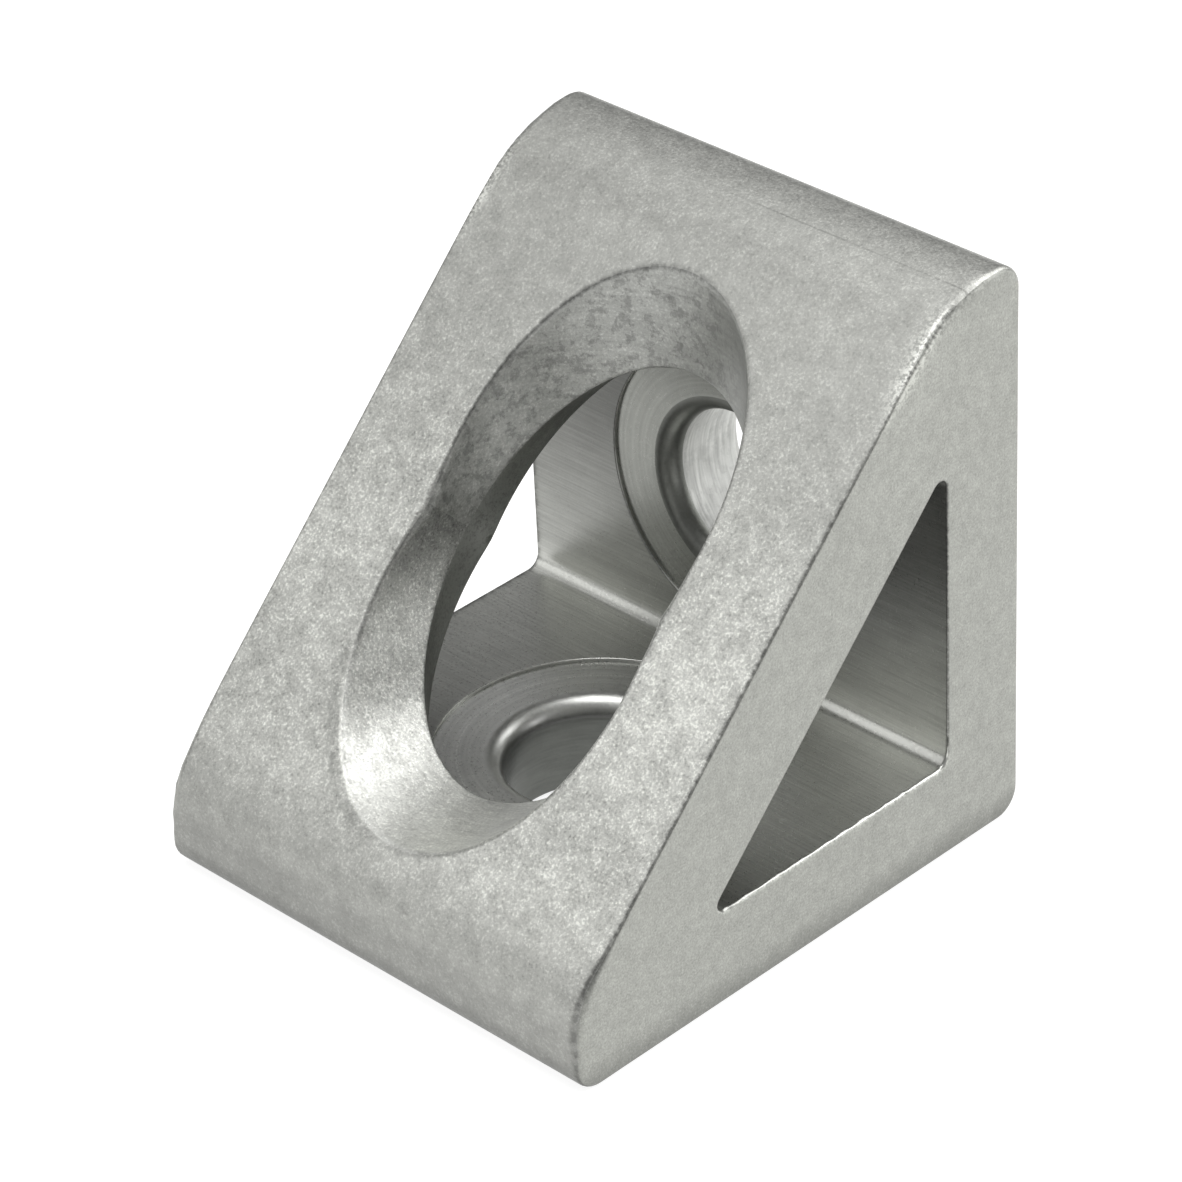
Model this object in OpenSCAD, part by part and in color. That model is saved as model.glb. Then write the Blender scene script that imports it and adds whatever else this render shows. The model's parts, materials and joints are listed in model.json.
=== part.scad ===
// Corner gusset for T-slot framing, cut from one extruded aluminium length.
// Two legs stand square to each other and a sloped wall joins their ends.
// Origin: middle of the footprint. +Z is up, the back leg is on the +Y side,
// and the sloped face looks towards -Y and +Z.

/* [Legs] */
// Width across the bracket, along the extrusion
width = 23; // [16:0.1:30]
// Height of the back leg, from the bottom face to its top
leg_height = 25.4; // [23:0.1:32]
// Reach of the bottom leg, from the back face to its front
leg_reach = 25.4; // [23:0.1:32]
// Thickness of the back leg
back_leg_wall = 4.3; // [3.2:0.1:5.4]
// Thickness of the bottom leg
bottom_leg_wall = 4.3; // [3.2:0.1:5.4]

/* [Slope] */
// Flat on top of the back leg, up to where the slope begins
top_land = 4; // [3:0.1:5]
// Flat on the front of the bottom leg, up to where the slope begins
front_land = 4; // [3:0.1:5]
// Thickness of the sloped wall, square to its face
slope_wall = 4.9; // [3.6:0.1:6]

/* [Corners] */
// Radius between the top of the back leg and the slope
top_nose_r = 6.3; // [2:0.1:7]
// Radius between the front of the bottom leg and the slope
front_nose_r = 3.8; // [1.5:0.1:7]
// Radius of the three square outer corners
outer_corner_r = 1.2; // [0.4:0.1:1.6]
// Radius of the tunnel's square corner, where the legs meet
heel_r = 0.6; // [0.3:0.1:1.5]
// Radius of the tunnel's two sharp corners
tunnel_corner_r = 0.4; // [0.2:0.05:0.8]

/* [Screw holes] */
// Diameter of the screw holes
screw_hole_d = 7.2; // [5:0.1:8.4]
// Height of the back leg's screw hole
back_hole_height = 12.1; // [11:0.1:13.5]
// Distance of the bottom leg's screw hole from the back face
bottom_hole_reach = 12.7; // [11:0.1:14]
// Radius of the rounded mouth of each screw hole
mouth_r = 0.8; // [0.2:0.05:1.2]

/* [Access] */
// Diameter of the cutter that opens the slope and faces the screw seats
access_d = 13.1; // [11:0.1:14]
// Depth of each screw seat below the face of its leg
seat_depth = 0.15; // [0.05:0.05:0.5]

/* [Hidden] */
// Sides of a full circle
round_steps = 96;
// How far a cutter runs past the face that it opens
overrun = 1;
// Angle between the sloped face and the bottom face
slope_angle = atan2(leg_height - front_land, leg_reach - top_land);
// Corner angles of the outside where the slope meets the top and the front
top_nose_angle = 180 - slope_angle;
front_nose_angle = 90 + slope_angle;
// Distance of the sloped face from the corner under the back leg
slope_distance = top_land * sin(slope_angle) + leg_height * cos(slope_angle);
// Distance of the tunnel's sloping side from the same corner
tunnel_distance = slope_distance - slope_wall;
// Height left under each screw seat, and so the depth of its screw hole
back_seat = back_leg_wall - seat_depth;
bottom_seat = bottom_leg_wall - seat_depth;

// The largest radius that rounds a corner and still leaves its land flat
// as far as the rounded corner at the land's other end
function fitted_r(r, land, opening) =
    min(r, (land - outer_corner_r) * tan(opening / 2));

// The sliver between a sharp corner and the arc that rounds it.
// One side of the corner runs along the turned X axis, the other lies
// at the corner's opening angle from it.
module corner_sliver(corner, turn, opening, r) {
    reach = r / tan(opening / 2);
    translate(corner)
        rotate(turn)
            difference() {
                polygon([
                    [0, 0],
                    [reach, 0],
                    [reach, r],
                    [reach * cos(opening), reach * sin(opening)]
                ]);
                translate([reach, r])
                    circle(r = r, $fn = round_steps);
            }
}

// Side view of the outside: X is the distance from the back face, Y the height
module side_outline() {
    top_r = fitted_r(top_nose_r, top_land, top_nose_angle);
    front_r = fitted_r(front_nose_r, front_land, front_nose_angle);
    difference() {
        polygon([
            [0, 0],
            [leg_reach, 0],
            [leg_reach, front_land],
            [top_land, leg_height],
            [0, leg_height]
        ]);
        corner_sliver([0, 0], 0, 90, outer_corner_r);
        corner_sliver([leg_reach, 0], 90, 90, outer_corner_r);
        corner_sliver([0, leg_height], 270, 90, outer_corner_r);
        corner_sliver([leg_reach, front_land], 180 - slope_angle, front_nose_angle, front_r);
        corner_sliver([top_land, leg_height], 180, top_nose_angle, top_r);
    }
}

// Side view of the triangular tunnel between the legs and the slope
module tunnel_outline() {
    front_x = (tunnel_distance - bottom_leg_wall * cos(slope_angle)) / sin(slope_angle);
    top_y = (tunnel_distance - back_leg_wall * sin(slope_angle)) / cos(slope_angle);
    difference() {
        polygon([
            [back_leg_wall, bottom_leg_wall],
            [front_x, bottom_leg_wall],
            [back_leg_wall, top_y]
        ]);
        corner_sliver([back_leg_wall, bottom_leg_wall], 0, 90, heel_r);
        corner_sliver([front_x, bottom_leg_wall], 180 - slope_angle, slope_angle, tunnel_corner_r);
        corner_sliver([back_leg_wall, top_y], 270, 90 - slope_angle, tunnel_corner_r);
    }
}

// The extruded length: the side view carried across the width
module extruded_length() {
    translate([0, leg_reach / 2, 0])
        rotate([90, 0, -90])
            linear_extrude(height = width, center = true)
                difference() {
                    side_outline();
                    tunnel_outline();
                }
}

// What the cutters take away for one screw, with the leg's outer face at Z = 0.
// One turned profile has the screw hole, its rounded mouth, and the access
// that runs from the screw seat out to the open.
module screw_cut(seat_height, run) {
    hole_r = screw_hole_d / 2;
    rotate_extrude($fn = round_steps) {
        translate([0, -overrun])
            square([hole_r, seat_height + 2 * overrun]);
        translate([0, seat_height - mouth_r])
            difference() {
                square([hole_r + mouth_r, mouth_r + overrun]);
                translate([hole_r + mouth_r, 0])
                    circle(r = mouth_r, $fn = round_steps);
            }
        translate([0, seat_height])
            square([access_d / 2, run]);
    }
}

module gusset_body() {
    color([0.70, 0.71, 0.68])
        difference() {
            extruded_length();
            translate([0, leg_reach / 2 - bottom_hole_reach, 0])
                screw_cut(bottom_seat, leg_height);
            translate([0, leg_reach / 2, back_hole_height])
                rotate([90, 0, 0])
                    screw_cut(back_seat, leg_reach);
        }
}

gusset_body();
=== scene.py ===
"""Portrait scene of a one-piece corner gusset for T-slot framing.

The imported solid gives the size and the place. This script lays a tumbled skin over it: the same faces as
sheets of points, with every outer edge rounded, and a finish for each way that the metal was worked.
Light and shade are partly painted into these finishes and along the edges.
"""
import json
import logging
import math
from dataclasses import dataclass, field
from enum import IntEnum
from typing import Callable, Optional, Sequence

import bmesh
import bpy
import numpy as np
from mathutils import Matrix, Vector


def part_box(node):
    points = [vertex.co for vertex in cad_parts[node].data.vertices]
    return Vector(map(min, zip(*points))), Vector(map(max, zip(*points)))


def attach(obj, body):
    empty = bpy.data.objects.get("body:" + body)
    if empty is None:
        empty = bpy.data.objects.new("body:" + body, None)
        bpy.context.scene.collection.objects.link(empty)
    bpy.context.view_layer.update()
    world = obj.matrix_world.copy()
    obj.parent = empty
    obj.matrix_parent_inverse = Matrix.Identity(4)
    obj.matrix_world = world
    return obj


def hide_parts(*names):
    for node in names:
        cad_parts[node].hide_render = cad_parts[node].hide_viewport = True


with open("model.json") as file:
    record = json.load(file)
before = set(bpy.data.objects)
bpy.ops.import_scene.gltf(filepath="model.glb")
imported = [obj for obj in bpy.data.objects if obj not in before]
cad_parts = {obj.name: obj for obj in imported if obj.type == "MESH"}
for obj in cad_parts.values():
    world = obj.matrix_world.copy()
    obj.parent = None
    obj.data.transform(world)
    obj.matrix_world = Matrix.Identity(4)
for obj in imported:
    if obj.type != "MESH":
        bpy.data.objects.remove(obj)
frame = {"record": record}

NODE = "gusset_body"
# Point attributes that carry the painted highlights and the painted shade along edges.
PAINTED_HIGHLIGHT = "gleam"
PAINTED_SHADE = "soil"
MM = 0.001
MICRON = 1e-6
NOISE_RANGE = (0.3, 0.7)
ROOT_TWO = math.sqrt(2.0)
EIGHTH_TAN = math.tan(math.pi / 8)
Array = np.ndarray
Pair = tuple[Array, Array]
Triple = tuple[float, float, float]
Socket = bpy.types.NodeSocket

log = logging.getLogger("gusset")


class Zone(IntEnum):
    """How a stretch of the surface was made, and so which finish it wears, some with painted light and
    shade.
    """

    TUMBLED = 0
    CUT_END = 1
    EXTRUDED = 2
    MILLED_UPRIGHT = 3
    MILLED_LEVEL = 4
    FACED_UPRIGHT = 5
    FACED_LEVEL = 6
    DRILLED_UPRIGHT = 7
    DRILLED_LEVEL = 8
    # Its finish's dark colour is painted shade.
    UNDERCUT = 9
    MOUTH_UPRIGHT = 10
    MOUTH_LEVEL = 11
    STEP = 12


# Shapes


@dataclass(frozen=True)
class Sizes:
    """Sizes in millimetres. In the side view, u runs forward from the back face and v runs up.

    The bottom leg's screw hole is at hole_u, and the back leg's at hole_v.
    """

    width: float
    height: float
    reach: float
    hole_r: float
    hole_v: float
    hole_u: float
    leg_wall: float = 4.3
    land: float = 4.0
    slope_wall: float = 4.9
    top_nose_r: float = 6.3
    front_nose_r: float = 3.8
    corner_r: float = 1.2
    heel_r: float = 0.6
    tunnel_r: float = 0.4
    mouth_r: float = 0.8
    access_r: float = 6.55
    seat_depth: float = 0.15
    ring_inset: float = 1.05

    @classmethod
    def from_frame(cls, node: str, record: dict) -> "Sizes":
        """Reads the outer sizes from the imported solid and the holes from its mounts.

        Args:
            node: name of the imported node.
            record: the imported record.

        Returns:
            The sizes in millimetres.
        """
        low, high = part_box(node)
        width, reach, height = (round(side / MM, 3) for side in high - low)
        mounts = {mount["name"]: mount for mount in record["mounts"]}
        back, bottom = mounts["back_screw_hole"], mounts["bottom_screw_hole"]
        hole_u = (high.y - bottom["pos_m"][1]) / MM
        return cls(width, height, reach, back["dims"]["r_mm"], back["pos_m"][2] / MM, hole_u)

    @property
    def half_width(self) -> float:
        """Distance of each cut end from the middle plane."""
        return self.width / 2

    @property
    def slope_sum(self) -> float:
        """u + v all over the sloped face."""
        return self.land + self.height

    @property
    def tunnel_sum(self) -> float:
        """u + v all over the tunnel's sloping side."""
        return self.slope_sum - self.slope_wall * ROOT_TWO

    @property
    def seat(self) -> float:
        """Distance of a screw seat from its leg's outer face."""
        return self.leg_wall - self.seat_depth


def graded(gap: float, start: Sequence[float], end: Sequence[float], steps: int) -> Array:
    """Fractions of a gap that crowd at its two ends, where edges are rounded.

    Args:
        gap: the gap's length in millimetres.
        start: distances from the gap's start, the first of them 0.
        end: distances from the gap's end, the first of them 0.
        steps: how many even steps lie between the two crowds.

    Returns:
        Rising fractions from 0 to 1.
    """
    head = np.asarray(start) / gap
    tail = 1 - np.asarray(end)[::-1] / gap
    return np.concatenate([head, np.linspace(head[-1], tail[0], steps + 1)[1:-1], tail])


def joined(*arrays: Array) -> Array:
    """Chains arrays, leaving out each later one's first value, which repeats the last before it."""
    return np.concatenate([arrays[0]] + [array[1:] for array in arrays[1:]])


def step(distance: Array, steepness: float = 1.0) -> Array:
    """Smooth step from 0 to 1, half way up where the distance is 0."""
    return 1 / (1 + np.exp(-distance * steepness))


def bell(gaps: Sequence[Array], width: Array | float) -> Array:
    """Bell that is 1 where every gap is 0: e to minus the sum of their squares over the width's square."""
    return np.exp(-sum(gap**2 for gap in gaps) / width**2)


def rounded_max(a: Array, b: Array, radius: Array | float) -> Array:
    """Larger of two signed distances, with the edge where they meet rounded.

    Formula: the larger one, held at or under minus the radius, plus the length of the vector whose two
    parts are how far each distance rises above minus the radius.

    Args:
        a: first signed distance, negative inside.
        b: second signed distance.
        radius: radius of the rounded edge.

    Returns:
        The joined signed distance.
    """
    rise = np.hypot(np.maximum(a + radius, 0), np.maximum(b + radius, 0))
    return np.minimum(np.maximum(a, b), -radius) + rise


@dataclass(frozen=True)
class RoundedPolygon:
    """A convex outline with an arc at each corner, as straight sides listed in clockwise order."""

    normals: tuple[tuple[float, float], ...]
    offsets: tuple[float, ...]
    radii: tuple[float, ...]

    def distance(self, u: Array, v: Array) -> Array:
        """Signed distance from the outline, negative inside.

        Formula: the largest of the distances past the sides. In a corner's wedge, which lies beyond its
        arc's centre between the two sides' normals, it is the distance from that centre less the radius.

        Args:
            u: distances forward from the back face.
            v: heights.

        Returns:
            The signed distances.
        """
        sides = list(zip(self.normals, self.offsets))
        result = np.max([nu * u + nv * v - offset for (nu, nv), offset in sides], axis=0)
        for side, after, radius in zip(sides, sides[1:] + sides[:1], self.radii):
            (au, av), a_offset = side
            (bu, bv), b_offset = after
            turn = au * bv - av * bu
            a_off, b_off = a_offset - radius, b_offset - radius
            wu = u - (a_off * bv - b_off * av) / turn
            wv = v - (b_off * au - a_off * bu) / turn
            wedge = ((au * wv - av * wu) * turn >= 0) & ((wu * bv - wv * bu) * turn >= 0)
            result = np.where(wedge, np.hypot(wu, wv) - radius, result)
        return result


@dataclass(frozen=True)
class TumbledEdges:
    """Radii and reaches in millimetres that tumbling left on the edges, and how steeply they change."""

    rim: float = 0.16
    rim_steepness: float = 2.5
    low_rim: float = 0.05
    low_rim_steepness: float = 1.5
    waist: float = 0.36
    waist_reach: float = 1.45
    inner_rim: float = 0.05
    ridge: float = 0.10
    window: float = 0.07
    burr: float = 0.20
    burr_pitch: float = 0.21
    burr_height: float = 0.45
    burr_steepness: float = 14.0
    burr_power: float = 1.5
    burr_points: int = 400
    burr_seed: int = 11
    hole: float = 0.25
    end_plain: float = 0.13
    end_front_nose: float = 0.36
    end_top_nose: float = 0.30
    end_square: float = 0.14
    square_steepness: float = 0.8
    nose_reach: float = 2.6
    waver: float = 0.30
    waves: tuple[Triple, ...] = ((3.1, 1.7, 0), (-2.9, 5.3, 1), (9.7, 8.3, 2))


@dataclass(frozen=True)
class Mark:
    """A painted highlight or painted shade: its strength from 0 to 1, and its width, place and reach in
    millimetres.
    """

    strength: float
    width: float = 1.0
    place: tuple[float, ...] = ()
    reach: float = 1.0

    def share(self, gaps: Sequence[Array], where: Sequence[Array] = ()) -> Array:
        """Strength times a bell of the gaps and a bell of the distance from the mark's place."""
        away = [here - middle for here, middle in zip(where, self.place)]
        return self.strength * bell(gaps, self.width) * bell(away, self.reach)


@dataclass(frozen=True)
class PaintedEdgeLight:
    """Where highlights and shade are painted along the edges, and where these end."""

    # Painted highlights: along the burr, the top nose's end edge, the lower seat's edge and a ring inside
    # it, the heel, and a patch of the lower lobe's wall where a lamp's reflection falls.
    burr: Mark = Mark(0.4, 0.14)
    burr_top: float = 0.5
    top_nose: Mark = Mark(1.0, 0.46, (5.9, 23.5), 2.0)
    seat_edge: Mark = Mark(0.5, 0.07)
    seat_ring: Mark = Mark(0.3, 0.04, (0.0,), 0.1)
    heel: Mark = Mark(0.6, place=(0.18, 0.18), reach=0.15)
    wall_patch: Mark = Mark(0.12, 0.3, (-3.7, 7.0), 1.7)
    # Painted shade: along the opening's left rim and the wall below it, the slope's right end edge and the
    # two windows' edges, and painted dark specks that break up the top nose's highlight.
    dark_rim: Mark = Mark(0.8, 0.11)
    dark_rim_side: float = 2.0
    dark_wall: Mark = Mark(0.45, 0.1, (-0.32,), 0.30)
    dark_wall_side: float = -1.0
    dark_top: Mark = Mark(0.8, 0.35, (3.6, 25.0), 1.8)
    dark_nose: Mark = Mark(1.0, place=(-1.2, -0.6), reach=2.2)
    dark_end: float = 0.85
    dark_end_front: float = 4.0
    dark_end_top: float = 21.0
    end_width: float = 0.09
    nose_width: float = 0.17
    nose_loss: float = 0.3
    far_window: Mark = Mark(1.0, 0.03, (0.0,), 0.20)
    near_window: Mark = Mark(1.0, 0.06)
    near_window_foot: float = 0.6
    steepness: float = 12.0


@dataclass(frozen=True)
class RoundedBody:
    """The bracket as one signed distance in section coordinates, with its edges rounded by tumbling."""

    sizes: Sizes
    edges: TumbledEdges = TumbledEdges()
    painted_edge_light: PaintedEdgeLight = PaintedEdgeLight()

    @property
    def outline(self) -> RoundedPolygon:
        """Side view of the outside: slope, front, bottom, back, top."""
        s, c = self.sizes, 1 / ROOT_TWO
        radii = (s.front_nose_r, s.corner_r, s.corner_r, s.corner_r, s.top_nose_r)
        normals = ((c, c), (1, 0), (0, -1), (-1, 0), (0, 1))
        return RoundedPolygon(normals, (s.slope_sum * c, s.reach, 0, 0, s.height), radii)

    @property
    def tunnel(self) -> RoundedPolygon:
        """Side view of the tunnel: sloping side, bottom, back."""
        s, c = self.sizes, 1 / ROOT_TWO
        offsets = (s.tunnel_sum * c, -s.leg_wall, -s.leg_wall)
        return RoundedPolygon(((c, c), (0, -1), (-1, 0)), offsets, (s.tunnel_r, s.heel_r, s.tunnel_r))

    def radii(self, x: Array, u: Array, v: Array) -> tuple[Array, Array, Array]:
        """Radii of the edges round a cut end, round the tunnel's end and round the access opening.

        Formula: at the cut end, the plain radius, plus a step round the square corners, plus a bell at each
        nose times one plus a waver of three sines. At the tunnel's end, the plain radius, plus, along the
        bottom of the right end, which the saw left ragged, the burr's width times a line through seeded
        random values. At the opening, the inner radius, raised to the rim's by a smooth step half way
        through the sloped wall, plus a bell at each point of the waist and more at the lower left.

        Args:
            x: distances from the middle plane.
            u: distances forward from the back face.
            v: heights.

        Returns:
            The radii of the three edges.
        """
        s, e = self.sizes, self.edges
        front = bell((u - s.reach, v - s.land), e.nose_reach)
        top = bell((u - s.land, v - s.height), e.nose_reach)
        waver = sum(np.sin(along * u + up * v + phase) for along, up, phase in e.waves) / len(e.waves)
        noses = (e.end_front_nose * front + e.end_top_nose * top) * (1 + e.waver * waver)
        end = e.end_plain + e.end_square * step(s.reach - u - v, e.square_steepness) + noses
        ragged = np.random.default_rng(e.burr_seed).random(e.burr_points) ** e.burr_power
        burr = e.burr * np.interp(u / e.burr_pitch, np.arange(e.burr_points), ragged)
        window = e.window + burr * (x > 0) * step(s.leg_wall + e.burr_height - v, e.burr_steepness)
        outer = step(u + v - (s.slope_sum + s.tunnel_sum) / 2, e.rim_steepness)
        rise = (s.slope_sum - s.hole_u - s.hole_v) / 2
        gaps = (np.abs(x) - math.sqrt(s.access_r**2 - rise**2), u - s.hole_u - rise, v - s.hole_v - rise)
        low = e.low_rim * step(s.hole_v - v) * step(-x, e.low_rim_steepness)
        rim = e.inner_rim + (e.rim - e.inner_rim + low + e.waist * bell(gaps, e.waist_reach)) * outer
        return end, window, rim

    def marks(self, places: Array) -> Array:
        """Shares of painted highlight and of painted shade.

        Formula: each mark is a bell of the distance from its edge, held to its own stretch by another bell
        or by smooth steps, and the strongest counts. Painted highlights lie on the burr, the top nose's end
        edge, the lower seat's edge and ring, the heel and a patch of the lower lobe's wall. Painted shade
        lies on the opening's left rim, the wall below it, the slope's right end edge, the top nose's end and
        the two windows' edges; on the top nose's end it is dark specks that break up the highlight.

        Args:
            places: N by 3 array of x, u and v.

        Returns:
            N by 2 array of shares from 0 to 1.
        """
        s, m = self.sizes, self.painted_edge_light
        x, u, v = places.T
        right, left = x > 0, x < 0
        end = np.abs(x) - s.half_width
        outline, tunnel = self.outline.distance(u, v), self.tunnel.distance(u, v)
        cuts = self.cuts(x, u, v)
        cut = np.maximum(*cuts)
        radial = np.hypot(x, u - s.hole_u) - s.access_r
        high, above_leg = v - s.hole_v, v - s.leg_wall
        # Painted highlights.
        bright = (
            m.burr.share((end, tunnel)) * right * step(m.burr_top - above_leg, m.steepness),
            m.top_nose.share((end, outline), (u, v)),
            m.seat_edge.share((radial, above_leg)),
            m.seat_ring.share((radial + s.ring_inset,), (v - s.seat,)),
            m.heel.share((), (u - s.leg_wall, above_leg)),
            m.wall_patch.share((cuts[1],), (x, v)),
        )
        nose = m.dark_nose.share((), (u - s.reach, v - s.land))
        wide = m.end_width + m.nose_width * nose
        edge = m.dark_end * bell((end + wide, outline), wide) * right * (1 - m.nose_loss * nose)
        # Painted shade, as dark lines along edges and dark specks.
        dark = (
            m.dark_rim.share((cut, outline)) * step(m.dark_rim_side - x, 1.2) * step(high),
            m.dark_wall.share((outline,), (cut,)) * step(m.dark_wall_side - x, 2) * step(-high),
            edge * step(u + v - s.slope_sum + m.dark_end_front) * step(m.dark_end_top - v, 1.5),
            m.dark_top.share((end, outline), (u, v)) * right,
            m.far_window.share((tunnel,), (end,)) * left,
            m.near_window.share((end, tunnel)) * right * step(above_leg - m.near_window_foot, m.steepness),
        )
        return np.stack([np.max(bright, axis=0), np.max(dark, axis=0)], axis=-1)

    def cuts(self, x: Array, u: Array, v: Array) -> Pair:
        """Signed distances outside the upright and the level access cutter, negative in metal."""
        s = self.sizes
        upright = np.maximum(np.hypot(x, u - s.hole_u) - s.access_r, s.seat - v)
        level = np.maximum(np.hypot(x, v - s.hole_v) - s.access_r, s.seat - u)
        return -upright, -level

    def distance(self, places: Array) -> Array:
        """Signed distance from the tumbled surface, negative in metal.

        Formula: the rounded largest of the outline, the cut ends, and turned inside out the tunnel, the two
        cutters and the two screw holes.

        Args:
            places: N by 3 array of x, u and v in millimetres.

        Returns:
            N signed distances.
        """
        s, e = self.sizes, self.edges
        x, u, v = places.T
        end, window, rim = self.radii(x, u, v)
        body = rounded_max(self.outline.distance(u, v), np.abs(x) - s.half_width, end)
        body = rounded_max(body, -self.tunnel.distance(u, v), window)
        body = rounded_max(body, rounded_max(*self.cuts(x, u, v), e.ridge), rim)
        body = rounded_max(body, s.hole_r - np.hypot(x, u - s.hole_u), e.hole)
        return rounded_max(body, s.hole_r - np.hypot(x, v - s.hole_v), e.hole)

    def settle(self, places: Array, rounds: int = 5, probe: float = 1e-4) -> Array:
        """Moves points from the sharp solid onto the tumbled surface.

        Formula: each point steps back along the distance's gradient by the distance over the gradient's
        square, a few times over.

        Args:
            places: N by 3 array of x, u and v in millimetres, on the sharp solid.
            rounds: number of steps.
            probe: half the spacing of the differences that give the gradient.

        Returns:
            The moved points.
        """
        moved = places.copy()
        for _ in range(rounds):
            gap = self.distance(moved)
            sides = probe * np.eye(3)
            rises = [self.distance(moved + side) - self.distance(moved - side) for side in sides]
            slope = np.stack(rises, axis=1) / (2 * probe)
            moved -= slope * (gap / np.maximum((slope**2).sum(1), 1e-3))[:, None]
        return moved


@dataclass
class Sheet:
    """A grid of points in section coordinates, with the way that its metal was worked."""

    zone: Zone
    x: Array
    u: Array
    v: Array
    settles: bool = True

    @property
    def grid(self) -> Array:
        """Rows by columns by 3 array of x, u and v."""
        return np.stack(np.broadcast_arrays(self.x, self.u, self.v), axis=-1).astype(float)


@dataclass(frozen=True)
class Rows:
    """Distances in millimetres at which rows of points lie beside a rounded edge."""

    rim: tuple[float, ...] = (0, 0.06, 0.13, 0.21, 0.31, 0.42, 0.56, 0.75)
    end: tuple[float, ...] = (0, 0.04, 0.09, 0.15, 0.22, 0.31, 0.42, 0.56, 0.72)
    fine: tuple[float, ...] = (0, 0.035, 0.07, 0.11, 0.18)
    window: tuple[float, ...] = (0, 0.04, 0.08, 0.13, 0.19, 0.26, 0.34)
    hole: tuple[float, ...] = (0, 0.05, 0.11, 0.18, 0.25, 0.34)
    ring: tuple[float, ...] = (0.06, 0.03, 0.0, -0.03, -0.06)
    step_shares: tuple[float, ...] = (0, 0.18, 0.4, 0.7, 1.0)


@dataclass(frozen=True)
class Lobe:
    """One lobe of the figure-8 opening, with the screw seat and hole that lie behind it.

    In a lobe's own coordinates, a runs from the crossing of the two screw axes away from its leg, and b
    along that leg, away from the other one. The upper lobe's a and b run as u and v, and the lower's as v
    and u.
    """

    sizes: Sizes
    upper: bool
    arc_steps: int = 4
    top_steps: int = 20
    side_steps: int = 26
    ridge_steps: int = 9
    inner_ridge_steps: int = 5
    corner_steps: int = 6
    seat_steps: int = 84
    outer_rows: int = 16
    inner_rows: int = 8
    seat_rows: int = 14
    mouth_rows: int = 9
    bore_rows: int = 6

    @property
    def zones(self) -> tuple[Zone, Zone, Zone, Zone]:
        """Zones of the lobe's wall, and of the seat, the mouth and the hole behind it."""
        if self.upper:
            return Zone.MILLED_UPRIGHT, Zone.FACED_LEVEL, Zone.MOUTH_LEVEL, Zone.DRILLED_LEVEL
        return Zone.MILLED_LEVEL, Zone.FACED_UPRIGHT, Zone.MOUTH_UPRIGHT, Zone.DRILLED_UPRIGHT

    @property
    def cross(self) -> tuple[float, float]:
        """Place of the crossing along a and b."""
        here = (self.sizes.hole_u, self.sizes.hole_v)
        return here if self.upper else here[::-1]

    @property
    def rise(self) -> float:
        """a + b on the sloped face."""
        return self.sizes.slope_sum - sum(self.cross)

    @property
    def drop(self) -> float:
        """Minus a - b on the tunnel's sloping side."""
        return sum(self.cross) - self.sizes.tunnel_sum

    def on_arc(self, turn: Array) -> Pair:
        """Points of the tunnel's sharp corner arc, as a and b, turned from the b direction towards a."""
        s = self.sizes
        centre_b = s.tunnel_sum - s.leg_wall - s.tunnel_r / EIGHTH_TAN - self.cross[1]
        centre_a = s.leg_wall + s.tunnel_r - self.cross[0]
        return centre_a + s.tunnel_r * np.sin(turn), centre_b + s.tunnel_r * np.cos(turn)

    def wall(self, angles: Array) -> Pair:
        """x and the radial part of the cutter's wall, at angles from the lobe's end."""
        return self.sizes.access_r * np.sin(angles), self.sizes.access_r * np.cos(angles)

    def angle_at(self, b: Array | float) -> Array:
        """Angle from the lobe's end at which the cutter's wall has the given b."""
        return np.arccos(np.asarray(b) / self.sizes.access_r)

    @property
    def upper_arc(self) -> Pair:
        """Corner arc from its tip to the sloping side."""
        return self.on_arc(np.linspace(0, math.pi / 4, self.arc_steps))

    @property
    def lower_arc(self) -> Pair:
        """Corner arc from its tip to the leg's wall."""
        return self.on_arc(np.linspace(0, -math.pi / 2, self.corner_steps))

    @property
    def tip_angles(self) -> Array:
        """Angles from the lobe's end to the tip of the tunnel's corner."""
        return np.linspace(0, self.angle_at(self.on_arc(np.array(0.0))[1]), self.top_steps)

    @property
    def flank_angles(self) -> Array:
        """Angles from the tip of the tunnel's corner to the lobe's side."""
        beside = self.angle_at(self.upper_arc[1])
        return joined(beside, np.linspace(beside[-1], math.pi / 2, self.side_steps))

    def waist_angles(self, depth: float, steps: int) -> Array:
        """Angles from the lobe's side to the waist, on a face at a depth from the crossing."""
        return np.linspace(math.pi / 2, math.acos(-depth / 2 / self.sizes.access_r), steps)

    @property
    def outer_angles(self) -> Array:
        """Angles from the lobe's end to the waist, on the sloped face."""
        return joined(self.tip_angles, self.flank_angles, self.waist_angles(self.rise, self.ridge_steps))

    @property
    def inner_angles(self) -> Array:
        """Angles from the tip of the tunnel's corner to the inner waist."""
        return joined(self.flank_angles, self.waist_angles(self.drop, self.inner_ridge_steps))

    @property
    def seat_angles(self) -> Array:
        """Angles round the screw seat, from the lobe's end to the heel."""
        low = self.angle_at(self.lower_arc[1])
        return joined(self.tip_angles, low, np.linspace(low[-1], math.pi, self.seat_steps))

    def trace(self) -> Array:
        """a at which the cutter's wall meets the tunnel's sloping side, at the inner angles."""
        arc = self.upper_arc[0]
        return np.concatenate([arc, -self.drop - self.wall(self.inner_angles[len(arc):])[1]])

    def step_top(self) -> Array:
        """a at which the cutter's wall meets the leg's inner face, at the seat angles past the tip."""
        arc = self.lower_arc[0]
        count = len(self.seat_angles) - len(self.tip_angles) + 1
        return np.concatenate([arc, np.full(count - len(arc), self.sizes.leg_wall - self.cross[0])])

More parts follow.
